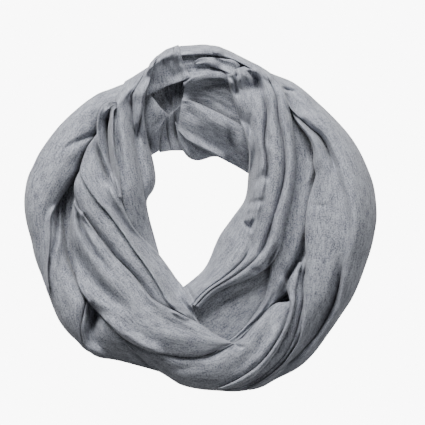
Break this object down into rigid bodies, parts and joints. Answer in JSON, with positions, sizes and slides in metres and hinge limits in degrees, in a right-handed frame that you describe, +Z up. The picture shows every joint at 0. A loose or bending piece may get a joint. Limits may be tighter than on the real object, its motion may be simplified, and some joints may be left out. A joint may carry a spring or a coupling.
{
  "type": "infinity scarf",
  "caption": "Infinity scarf of soft jersey, a sewn loop wound double and laid flat in loose folds around an open neck hole",
  "frame": {"origin": "middle of the scarf's bounding box, on the surface that it lies on", "axes": "+Z up from the surface, +Y towards the side with the joining seam, +X to the right seen from above with the seam at the top"},
  "size_m": [0.3868, 0.3816, 0.0811],
  "materials": {
    "jersey": "matt heather grey single jersey with fine lighter and darker streaks along its length"
  },
  "bodies": {
    "root": {"hidden_core": "jersey", "throat_left": "jersey", "throat_flap": "jersey", "throat_right": "jersey", "inner_left": "jersey", "mid_right": "jersey", "dark_panel": "jersey", "lower_left": "jersey", "outer_left": "jersey", "corner_fold": "jersey", "bottom_roll": "jersey", "outer_right": "jersey", "top_outer": "jersey", "top_back": "jersey", "top_left": "jersey", "top_panel": "jersey", "top_fold": "jersey", "inner_right": "jersey", "cross_strands": "jersey", "cross_band": "jersey"}
  },
  "joints": []
}
